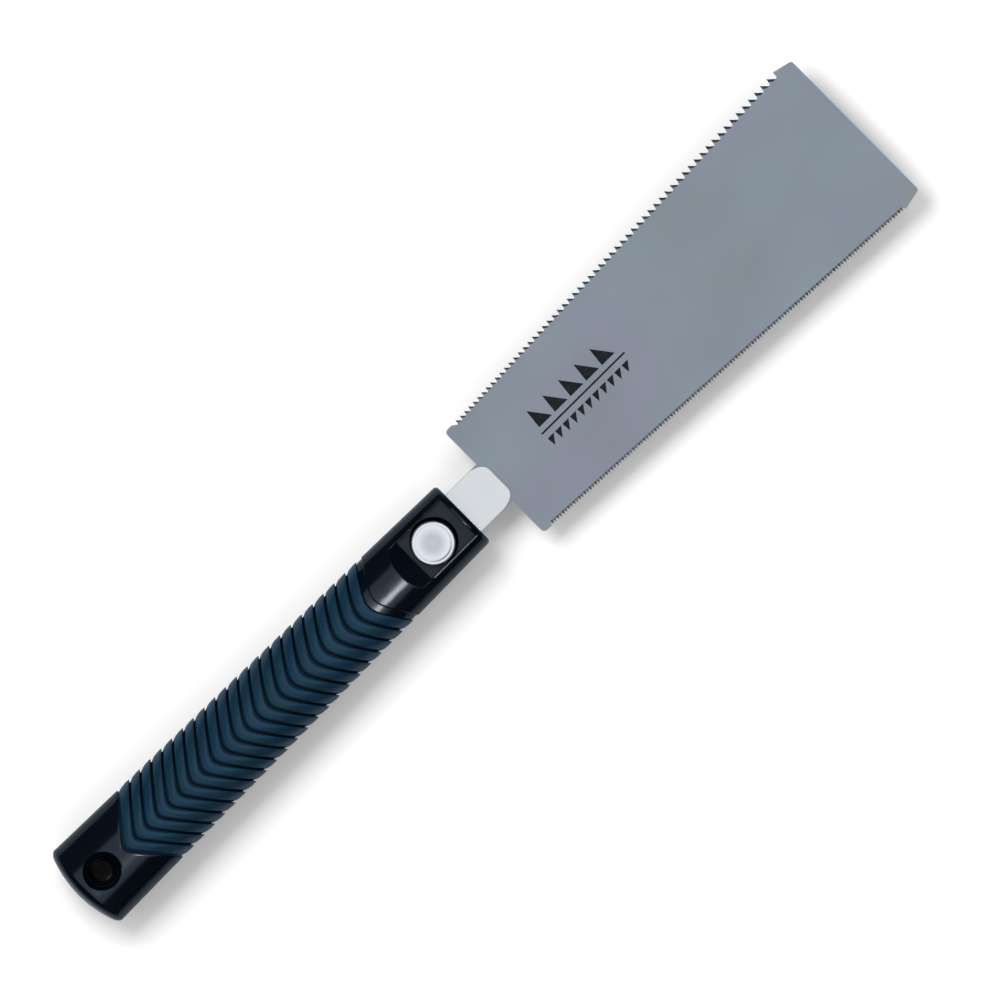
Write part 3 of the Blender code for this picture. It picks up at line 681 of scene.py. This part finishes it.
def button_bore_form():
    """The button's bore: close round the button at its foot, and drawn out towards the front at its mouth."""
    chamfer = 0.00012
    profile = [(BORE_MOUTH + chamfer, ABOVE), (BORE_MOUTH + chamfer, panel_floor)]
    profile += [(BORE_MOUTH, panel_floor - chamfer), (BUTTON_BORE, BORE_FLOOR)]
    form = bore_form(BUTTON_STATION, profile)
    for point in form.verts:
        share = blended(0.0, 1.0, (point.co.z - BORE_FLOOR) / (panel_floor - chamfer - BORE_FLOOR))
        point.co.x += share * BORE_MOUTH_OFFSET[0]
        point.co.y += share * BORE_MOUTH_OFFSET[1]
    return form


upper_shell = half_core("shell_upper", True)
cut(
    upper_shell,
    [
        hang_hole_form(),
        socket_space(),
        button_bore_form(),
        bore_form(BUTTON_STATION, [(NECK_BORE, BORE_FLOOR + 0.001), (NECK_BORE, MID_Z)]),
    ],
)
lower_shell = half_core("shell_lower", False)
plug_seat = [
    (PLUG_BORE, PLUG_SEAT),
    (PLUG_BORE, BOTTOM + 0.0003),
    (PLUG_BORE + 0.0004, BOTTOM),
    (PLUG_BORE + 0.0004, BELOW),
]
cut(
    lower_shell,
    [
        hang_hole_form(),
        socket_space(),
        bore_form(BUTTON_STATION, [(COLLAR_BORE, MID_Z), (COLLAR_BORE, PLUG_SEAT - 0.0005)]),
        bore_form(BUTTON_STATION, plug_seat),
    ],
)

GLOSS_ROUGHNESS = 0.15
PANEL_ROUGHNESS = 0.60
plastic, plastic_shader = new_finish("black_plastic", (0.0010, 0.0032, 0.0060), GLOSS_ROUGHNESS)
plastic_shader.inputs["Specular IOR Level"].default_value = 0.5
plastic_shader.inputs["Specular Tint"].default_value = (0.66, 0.80, 1.0, 1.0)
plastic_haze = grain(plastic, 60, 4.0)
plastic_grain = grain(plastic, 1500, 2.0)


def inside(made, value, low, high):
    """1 where the value lies between low and high, else 0."""
    tree = made.node_tree
    band = tree.nodes.new("ShaderNodeMath")
    band.operation = "COMPARE"
    tree.links.new(value, band.inputs[0])
    band.inputs[1].default_value = (low + high) / 2
    band.inputs[2].default_value = (high - low) / 2
    return band.outputs["Value"]


def times(made, first, second):
    tree = made.node_tree
    product = tree.nodes.new("ShaderNodeMath")
    product.operation = "MULTIPLY"
    for socket, value in zip(product.inputs, (first, second)):
        if isinstance(value, float):
            socket.default_value = value
        else:
            tree.links.new(value, socket)
    return product.outputs["Value"]


def panel_share(made):
    """1 on the floor of the sunk panel, whose mould is spark-eroded to a satin finish."""
    tree = made.node_tree
    where = tree.nodes.new("ShaderNodeTexCoord")
    parts = tree.nodes.new("ShaderNodeSeparateXYZ")
    tree.links.new(where.outputs["Object"], parts.inputs["Vector"])
    level = inside(made, parts.outputs["Z"], panel_floor - 0.00006, panel_floor + 0.00012)
    middle = inside(made, parts.outputs["Y"], -PANEL_HALF_WIDTH, PANEL_HALF_WIDTH)
    return times(made, level, middle)


def summed(made, first, second):
    tree = made.node_tree
    total = tree.nodes.new("ShaderNodeMath")
    total.operation = "ADD"
    total.use_clamp = True
    tree.links.new(first, total.inputs[0])
    tree.links.new(second, total.inputs[1])
    return total.outputs["Value"]


def falls_only_on(light, pieces):
    """Keeps the light off everything but these pieces."""
    lit = bpy.data.collections.new(f"lit_by_{light.name}")
    for piece in pieces:
        lit.objects.link(piece)
    light.light_linking.receiver_collection = lit


plastic_gloss = spread(plastic, plastic_haze, 0.12, 0.19)
satin = panel_share(plastic)
gloss_black = tinted(plastic, plastic_haze, (0.0003, 0.0014, 0.0032), (0.0009, 0.0026, 0.0050))
satin_black = tinted(plastic, plastic_haze, (0.0095, 0.0122, 0.0150), (0.0135, 0.0162, 0.0190))
connected(
    plastic,
    plastic_shader,
    Base_Color=colour_between(plastic, gloss_black, satin_black, satin),
    Roughness=summed(plastic, plastic_gloss, times(plastic, satin, PANEL_ROUGHNESS - GLOSS_ROUGHNESS)),
    Normal=raised(plastic, [(grain(plastic, 350, 1.0), 0.000010), (plastic_grain, 0.000003)]),
)
falls_only_on(lights["strip"], (upper_shell, lower_shell))
for shell, node in ((upper_shell, "handle_shell_upper"), (lower_shell, "handle_shell_lower")):
    shell.data.materials.append(plastic)
    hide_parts(node)
    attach(shell, "handle")

# ---------------------------------------------------------------- spring plug
# A turned black plug pressed into the underside of the head. It closes the lock and carries the spring,
# which sits round the nub on its inner face.

PLUG_RADIUS = 0.0055
PLUG_TOP = 0.0019
plug_profile = [
    (0.0, PLUG_TOP + 0.0011), (0.0018, PLUG_TOP + 0.0011), (0.0020, PLUG_TOP + 0.0009), (0.0020, PLUG_TOP),
    (PLUG_RADIUS, PLUG_TOP), (PLUG_RADIUS, 0.0006), (PLUG_RADIUS - 0.0001, 0.0003),
    (PLUG_RADIUS - 0.0004, 0.0001), (0.0042, 0.0001), (0.0041, 0.0003), (0.0037, 0.0003),
    (0.0036, 0.0001), (0.0, 0.0001),
]
plug = finished("plug", turned_form(plug_profile, BUTT + BUTTON_STATION), 30)
plug.data.materials.append(plastic)
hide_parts("spring_plug")
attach(plug, "handle")

# ---------------------------------------------------------------- blade
# Saw steel 0.5 mm thick, rolled, tempered and ground. The rip teeth on the +Y edge are filed to a bevel on
# their backs and set by turns up and down. The slim crosscut teeth on the other edge are ground to points.

HEEL = BUTT + 0.1860
TOOTH_LINE_START = BUTT + 0.1891
TOOTH_LINE_LENGTH = 0.1509
HEEL_HALF_WIDTH = 0.02255
HEEL_CORNER = 0.0014
TOE_HALF_WIDTH = 0.03025
TOE_CORNER = 0.0009
TOE_EDGE_INSET = 0.0014
BLADE_HALF_THICKNESS = (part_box("blade")[1].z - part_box("blade")[0].z) / 2
TANG_HALF_WIDTH = 0.00815
TANG_REAR = BUTT + 0.1445
TANG_CORNER = 0.0020
KEYHOLE_RADIUS = 0.00415
SLOT_HALF_WIDTH = 0.00265
FIRST_RIP_TIP = BUTT + 0.1912
RIP_TEETH = 61
RIP_PITCH = (0.00194, 0.00145, -0.00043)
RIP_DEPTH = 0.70
RIP_SET = 0.00013
RIP_BEVEL = (0.075, 0.125)
CROSSCUT_TEETH = 131
CROSSCUT_HEIGHT = 0.95
CROSSCUT_SET = 0.00008
CROSSCUT_BEVEL = (0.00040, 0.00046)


def arc(centre, radius, start, end, points):
    """Points on an arc between two angles in degrees."""
    angles = [math.radians(start + (end - start) * i / (points - 1)) for i in range(points)]
    return [(centre[0] + radius * math.cos(a), centre[1] + radius * math.sin(a)) for a in angles]


def tooth_line_y(x):
    """Half the blade's width at the tips of its teeth."""
    share = (x - TOOTH_LINE_START) / TOOTH_LINE_LENGTH
    return HEEL_HALF_WIDTH + (TOE_HALF_WIDTH - HEEL_HALF_WIDTH) * share


def rip_tips():
    """X of the rip teeth's tips, whose pitch grows from heel to toe."""
    tips = [FIRST_RIP_TIP]
    for _ in range(RIP_TEETH - 1):
        share = (tips[-1] - TOOTH_LINE_START) / TOOTH_LINE_LENGTH
        tips.append(tips[-1] + RIP_PITCH[0] + RIP_PITCH[1] * share + RIP_PITCH[2] * share**2)
    return tips


def rip_teeth():
    """Each tooth's outline from its gullet to the next, towards the toe, and its bevel's inner corner.

    The tip's two points are the fourth and fifth of the outline."""
    tips = rip_tips()
    teeth = []
    for i, tip in enumerate(tips[:-1]):
        behind = tip - tips[i - 1] if i else tips[1] - tips[0]
        pitch = tips[i + 1] - tip
        front = ((-0.26, RIP_DEPTH), (-0.15, 0.66), (-0.07, 0.36), (-0.02, 0.0))
        back = ((0.03, 0.01), (0.38, 0.375), (0.62, 0.62), (0.74, RIP_DEPTH))
        shape = [(tip + x * behind, depth * behind) for x, depth in front]
        shape += [(tip + x * pitch, depth * pitch) for x, depth in back]
        inner = [(tip + 0.36 * pitch, RIP_DEPTH * pitch)]
        teeth.append([[(x, tooth_line_y(x) - depth) for x, depth in points] for points in (shape, inner)])
    return teeth


def crosscut_teeth():
    """(gullet, tip, next gullet, root) of each tooth, towards the toe. By turns they lean to and fro."""
    pitch = TOOTH_LINE_LENGTH / CROSSCUT_TEETH
    teeth = []
    for i in range(1, CROSSCUT_TEETH):
        place = TOOTH_LINE_START + pitch * i
        lean = 0.05 * pitch if i % 2 else -0.05 * pitch
        height = CROSSCUT_HEIGHT * pitch
        points = [(place - 0.36 * pitch, height), (place + lean, 0.0), (place + 0.64 * pitch, height)]
        points.append((place + 0.10 * pitch, 1.30 * pitch))
        teeth.append([(x, depth - tooth_line_y(x)) for x, depth in points])
    return teeth


def tang_points():
    """(upper, lower) parts of the outline behind the heel, with the keyhole open to the rear."""
    centre = BUTT + BUTTON_STATION
    inner = TANG_HALF_WIDTH - TANG_CORNER
    mouth = math.degrees(math.asin(SLOT_HALF_WIDTH / KEYHOLE_RADIUS))
    above = [
        (HEEL, TANG_HALF_WIDTH),
        *arc((TANG_REAR + TANG_CORNER, inner), TANG_CORNER, 90, 180, 7),
        (TANG_REAR, SLOT_HALF_WIDTH),
        *arc((centre, 0.0), KEYHOLE_RADIUS, 180 - mouth, 0, 20),
    ]
    below = [(x, -y) for x, y in reversed(above[:-1])]
    return above, below


def blade_form():
    form = bmesh.new()
    top = MID_Z + BLADE_HALF_THICKNESS
    made = {}

    def vertex(point):
        key = (round(point[0], 7), round(point[1], 7))
        if key not in made:
            made[key] = form.verts.new((point[0], point[1], top))
        return made[key]

    rip, crosscut = rip_teeth(), crosscut_teeth()
    toe_x, toe_y = BLADE_TOE - TOE_CORNER, TOE_HALF_WIDTH - TOE_EDGE_INSET - TOE_CORNER
    heel_x, heel_y = HEEL + HEEL_CORNER, HEEL_HALF_WIDTH - HEEL_CORNER - 0.0001
    above, below = tang_points()
    end = TOOTH_LINE_START + TOOTH_LINE_LENGTH
    last_rip = rip_tips()[-1]
    rip_inner = []
    for outline, inner in reversed(rip):
        rip_inner += [outline[-1], inner[0]]
    crosscut_inner = []
    for gullet, _, _, root in crosscut:
        crosscut_inner += [gullet, root]
    outline = [
        *below,
        *arc((heel_x, -heel_y), HEEL_CORNER, 180, 262, 6),
        (crosscut[0][0][0] - 0.0004, -tooth_line_y(TOOTH_LINE_START)),
        *crosscut_inner,
        crosscut[-1][2],
        (end, -tooth_line_y(end)),
        *arc((toe_x, -toe_y), TOE_CORNER, 282, 360, 6),
        *arc((toe_x, toe_y), TOE_CORNER, 0, 78, 6),
        (last_rip, tooth_line_y(last_rip)),
        (last_rip - 0.0001, tooth_line_y(last_rip) - 0.0018),
        *rip_inner,
        rip[0][0][0],
        (TOOTH_LINE_START, tooth_line_y(TOOTH_LINE_START) - 0.0001),
        *arc((heel_x, heel_y), HEEL_CORNER, 98, 180, 6),
        *above,
    ]
    form.faces.new([vertex(point) for point in outline])
    moves = []
    lowered = []
    for i, (shape, inner) in enumerate(rip):
        start = rip[i - 1][0][-1] if i else shape[0]
        flat = [start, *shape[1:3], inner[0]]
        bevel = [*shape[2:], inner[0]]
        for path in (flat, bevel):
            form.faces.new([vertex(point) for point in reversed(path)])
        pitch = shape[-1][0] - start[0]
        moves += [(shape[j], RIP_SET if i % 2 else -RIP_SET) for j in (3, 4)]
        lowered += [(shape[j], RIP_BEVEL[i % 2] * pitch) for j in (3, 4, 5, 6)]
    for i, tooth in enumerate(crosscut):
        start = crosscut[i - 1][2] if i else tooth[0]
        form.faces.new([vertex(point) for point in (start, tooth[1], tooth[3])])
        form.faces.new([vertex(point) for point in (tooth[1], tooth[2], tooth[3])])
        moves.append((tooth[1], CROSSCUT_SET if i % 2 else -CROSSCUT_SET))
        lowered.append((tooth[1], CROSSCUT_BEVEL[i % 2]))
    bmesh.ops.recalc_face_normals(form, faces=form.faces)
    if form.faces[:][0].normal.z < 0:
        bmesh.ops.reverse_faces(form, faces=form.faces)
    sheet = form.faces[:]
    copied = bmesh.ops.extrude_face_region(form, geom=sheet, use_keep_orig=True)["geom"]
    under = [item for item in copied if isinstance(item, bmesh.types.BMVert)]
    partners = {(v.co.x, v.co.y): v for v in under}
    bmesh.ops.translate(form, vec=(0.0, 0.0, -2 * BLADE_HALF_THICKNESS), verts=under)
    tops = {point: vertex(point) for point, _ in moves + lowered}
    bottoms = {point: partners[(tops[point].co.x, tops[point].co.y)] for point, _ in moves}
    for point, lift in moves:
        tops[point].co.z += lift
        bottoms[point].co.z += lift
    for point, drop in lowered:
        tops[point].co.z -= drop
    bmesh.ops.recalc_face_normals(form, faces=form.faces)
    return form


blade = finished("saw_blade", blade_form(), 1)
steel, steel_shader = new_finish("blade_steel", (0.335, 0.375, 0.425), 0.36, 1.0)
steel_cloud = grain(steel, 28, 4.0, (1.0, 1.5, 1.0))
steel_hue = grain(steel, 45, 3.0)
steel_streak = grain(steel, 220, 5.0, (0.08, 3.0, 1.0))
steel_pit = grain(steel, 2200, 3.0)
steel_green = tinted(steel, steel_cloud, (0.348, 0.402, 0.442), (0.382, 0.436, 0.478))
steel_violet = tinted(steel, steel_cloud, (0.362, 0.386, 0.454), (0.400, 0.422, 0.492))
steel_share = spread(steel, steel_hue, 0.0, 1.0, 0.38, 0.62)
connected(
    steel,
    steel_shader,
    Base_Color=colour_between(steel, steel_green, steel_violet, steel_share),
    Roughness=spread(steel, steel_cloud, 0.33, 0.42),
    Normal=raised(steel, [(steel_streak, 0.000004), (steel_pit, 0.000002)]),
)
blade.data.materials.append(steel)
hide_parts("blade")
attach(blade, "handle")

# ---------------------------------------------------------------- printed tooth guide
# Black ink on the blade that shows which edge is which: a few large teeth on the rip side of a line, and
# more small ones on its crosscut side. It is a film a hundredth of a millimetre thick.

GUIDE_MIDDLE = BUTT + 0.2260
INK_LOW = MID_Z + BLADE_HALF_THICKNESS + 0.000004
INK_THICKNESS = 0.00001


def ink_shapes():
    """The outlines of the printed shapes, anticlockwise."""
    line_half, line_y, line_width = 0.0185, 0.0000, 0.0006
    yield [
        (GUIDE_MIDDLE - line_half, line_y), (GUIDE_MIDDLE + line_half, line_y),
        (GUIDE_MIDDLE + line_half, line_y + line_width), (GUIDE_MIDDLE - line_half, line_y + line_width),
    ]
    for count, pitch, height, base in ((5, 0.0070, 0.0066, 0.0024), (11, 0.0033, -0.0032, -0.0020)):
        for i in range(count):
            left = GUIDE_MIDDLE + pitch * (i - count / 2)
            teeth = [(left, base), (left + 0.82 * pitch, base), (left + 0.1 * pitch, base + height)]
            yield teeth if height > 0 else list(reversed(teeth))


def ink_form():
    form = bmesh.new()
    for shape in ink_shapes():
        form.faces.new([form.verts.new((x, y, INK_LOW)) for x, y in shape])
    grown = bmesh.ops.extrude_face_region(form, geom=form.faces[:], use_keep_orig=True)["geom"]
    risen = [item for item in grown if isinstance(item, bmesh.types.BMVert)]
    bmesh.ops.translate(form, vec=(0.0, 0.0, INK_THICKNESS), verts=risen)
    bmesh.ops.recalc_face_normals(form, faces=form.faces)
    return form


guide = finished("tooth_guide_print", ink_form())
ink, ink_shader = new_finish("black_ink", (0.005, 0.006, 0.009), 0.5)
ink_shader.inputs["Specular IOR Level"].default_value = 0.25
ink_wear = grain(ink, 900, 4.0)
connected(
    ink,
    ink_shader,
    Base_Color=tinted(ink, ink_wear, (0.004, 0.005, 0.007), (0.018, 0.021, 0.026), 0.50, 0.80),
    Roughness=spread(ink, ink_wear, 0.40, 0.60),
)
guide.data.materials.append(ink)
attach(guide, "handle")

# ---------------------------------------------------------------- tang plates and socket
# Two bright plated steel plates, spot-welded to the faces of the tang to stiffen it, and the folded steel
# socket inside the head that they slide into. Their pressed edges are slightly rounded.


def worn_metal(name, colour, shade, roughness, cloud_scale=70):
    """Bright metal with faint clouds, fine brushing and hairline scratches."""
    made, shader = new_finish(name, colour, roughness, 1.0)
    clouds = grain(made, cloud_scale, 3.0)
    brushing = grain(made, 500, 4.0, (0.12, 3.0, 1.0))
    darker = tuple(channel * shade for channel in colour)
    connected(
        made,
        shader,
        Base_Color=tinted(made, clouds, darker, colour),
        Roughness=spread(made, clouds, roughness * 0.85, roughness * 1.2),
        Normal=raised(made, [(brushing, 0.000004), (grain(made, 1800, 2.0), 0.0000015)]),
    )
    return made


def refinish(node, made):
    """A carried-over CAD node takes the finish."""
    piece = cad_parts[node]
    piece.data.materials.clear()
    piece.data.materials.append(made)


def eased(node, width):
    """Rounds a CAD node's sharp edges by a little."""
    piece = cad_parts[node]
    weld = piece.modifiers.new("weld", "WELD")
    weld.merge_threshold = 0.000002
    ease = piece.modifiers.new("eased_edges", "BEVEL")
    ease.width = width
    ease.segments = 3
    ease.limit_method = "ANGLE"
    ease.angle_limit = math.radians(40)


bright_steel = worn_metal("bright_steel", (0.87, 0.875, 0.88), 0.93, 0.22, 140)
for node in ("tang_plate_upper", "tang_plate_lower"):
    refinish(node, bright_steel)
    eased(node, 0.00012)
refinish("tang_socket", bright_steel)
eased("tang_socket", 0.00012)

# ---------------------------------------------------------------- button, pin and spring
# A nickel-plated button turned from bar, with a dished face inside a raised ring, pressed on to the lock pin.
# The pin's collar holds the tang, and a coil spring under it lifts both again.

BUTTON_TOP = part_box("button_cap")[1].z
BUTTON_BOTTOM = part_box("button_cap")[0].z
BUTTON_RADIUS = 0.0070
# Radii over which the button's colour brightens from the dish to the ring: a painted highlight on the ring.
RING_HIGHLIGHT_RADII = (0.0024, 0.0050)
CAP_BORE = 0.00245
CAP_BORE_DEPTH = 0.0020
cap_profile = [
    (0.0, BUTTON_TOP - 0.00012),
    (0.0040, BUTTON_TOP - 0.00011),
    (0.00460, BUTTON_TOP - 0.00010),
    (0.00482, BUTTON_TOP - 0.00012),
    (0.00510, BUTTON_TOP - 0.00010),
    (0.00570, BUTTON_TOP - 0.00008),
    (0.00590, BUTTON_TOP - 0.00002),
    (0.00602, BUTTON_TOP),
    (0.00655, BUTTON_TOP),
    (0.00676, BUTTON_TOP - 0.00003),
    (0.00690, BUTTON_TOP - 0.00013),
    (0.00697, BUTTON_TOP - 0.00030),
    (BUTTON_RADIUS, BUTTON_TOP - 0.00055),
    (BUTTON_RADIUS, BUTTON_BOTTOM + 0.0001),
    (BUTTON_RADIUS - 0.0001, BUTTON_BOTTOM),
    (CAP_BORE, BUTTON_BOTTOM),
    (CAP_BORE, BUTTON_BOTTOM + CAP_BORE_DEPTH),
    (0.0, BUTTON_BOTTOM + CAP_BORE_DEPTH),
]
button = finished("button", turned_form(cap_profile, BUTT + BUTTON_STATION, steps=128), 50)
nickel, nickel_shader = new_finish("turned_nickel", (0.84, 0.87, 0.90), 0.20, 1.0)
nickel_cloud = grain(nickel, 160, 3.0)
own_place = nickel.node_tree.nodes.new("ShaderNodeTexCoord")
centring = nickel.node_tree.nodes.new("ShaderNodeMapping")
centring.inputs["Location"].default_value = (-(BUTT + BUTTON_STATION), 0.0, 0.0)
centring.inputs["Scale"].default_value = (1.0, 1.0, 0.0)
from_axis = nickel.node_tree.nodes.new("ShaderNodeVectorMath")
from_axis.operation = "LENGTH"
turning = nickel.node_tree.nodes.new("ShaderNodeTexWave")
turning.wave_type = "RINGS"
turning.rings_direction = "Z"
turning.inputs["Scale"].default_value = 700
turning.inputs["Distortion"].default_value = 0.6
nickel.node_tree.links.new(own_place.outputs["Object"], centring.inputs["Vector"])
nickel.node_tree.links.new(centring.outputs["Vector"], turning.inputs["Vector"])
nickel.node_tree.links.new(centring.outputs["Vector"], from_axis.inputs[0])
# The raised ring is painted brighter than the dished face: a painted highlight.
ring_highlight_share = spread(nickel, from_axis.outputs["Value"], 0.0, 1.0, *RING_HIGHLIGHT_RADII)
connected(
    nickel,
    nickel_shader,
    Base_Color=colour_between(
        nickel,
        tinted(nickel, nickel_cloud, (0.61, 0.645, 0.69), (0.68, 0.70, 0.73)),
        tinted(nickel, nickel_cloud, (0.86, 0.88, 0.91), (0.96, 0.97, 0.98)),
        ring_highlight_share,
    ),
    Roughness=spread(nickel, nickel_cloud, 0.17, 0.27),
    Normal=raised(nickel, [(turning.outputs["Fac"], 0.0000012), (grain(nickel, 500, 3.0), 0.000004)]),
)
button.data.materials.append(nickel)
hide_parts("button_cap")
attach(button, "button")

refinish("lock_pin", bright_steel)
eased("lock_pin", 0.00010)

SPRING_LOW = PLUG_TOP + 0.00015
SPRING_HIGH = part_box("release_spring")[1].z
SPRING_RADIUS = 0.0033
SPRING_WIRE = 0.00025
SPRING_END_RISE = 2 * SPRING_WIRE + 0.00005
SPRING_OPEN_TURNS = 2.5
SPRING_STEPS_A_TURN = 40


def spring_form():
    """Round wire wound on a vertical axis: one closed turn at each end and open turns between them."""
    form = bmesh.new()
    middle = Vector((BUTT + BUTTON_STATION + SPRING_RADIUS, 0.0, SPRING_LOW + SPRING_WIRE))
    upright = Matrix.LocRotScale(middle, Matrix.Rotation(math.pi / 2, 3, "X"), None)
    bmesh.ops.create_circle(form, cap_ends=False, segments=12, radius=SPRING_WIRE, matrix=upright)
    bmesh.ops.contextual_create(form, geom=form.edges[:])
    open_rise = SPRING_HIGH - SPRING_LOW - 2 * SPRING_WIRE - 2 * SPRING_END_RISE
    end = form.faces[:]
    for turns, rise in ((1.0, SPRING_END_RISE), (SPRING_OPEN_TURNS, open_rise), (1.0, SPRING_END_RISE)):
        steps = round(SPRING_STEPS_A_TURN * turns)
        wound = bmesh.ops.spin(
            form, geom=end, cent=(BUTT + BUTTON_STATION, 0.0, 0.0), axis=(0.0, 0.0, 1.0),
            dvec=(0.0, 0.0, rise / steps), angle=2 * math.pi * turns, steps=steps,
        )
        end = [item for item in wound["geom_last"] if isinstance(item, bmesh.types.BMFace)]
    bmesh.ops.recalc_face_normals(form, faces=form.faces)
    return form


spring = finished("button_spring", spring_form())
spring_steel = worn_metal("spring_steel", (0.50, 0.50, 0.51), 0.85, 0.34)
spring.data.materials.append(spring_steel)
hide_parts("release_spring")
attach(spring, "handle")
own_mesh(spring)

# ---------------------------------------------------------------- shell screws
# Four zinc-plated self-tapping screws join the shells from below. The rubber moulded over them hides them.

for i in range(1, 5):
    refinish(f"shell_screw_{i}", spring_steel)
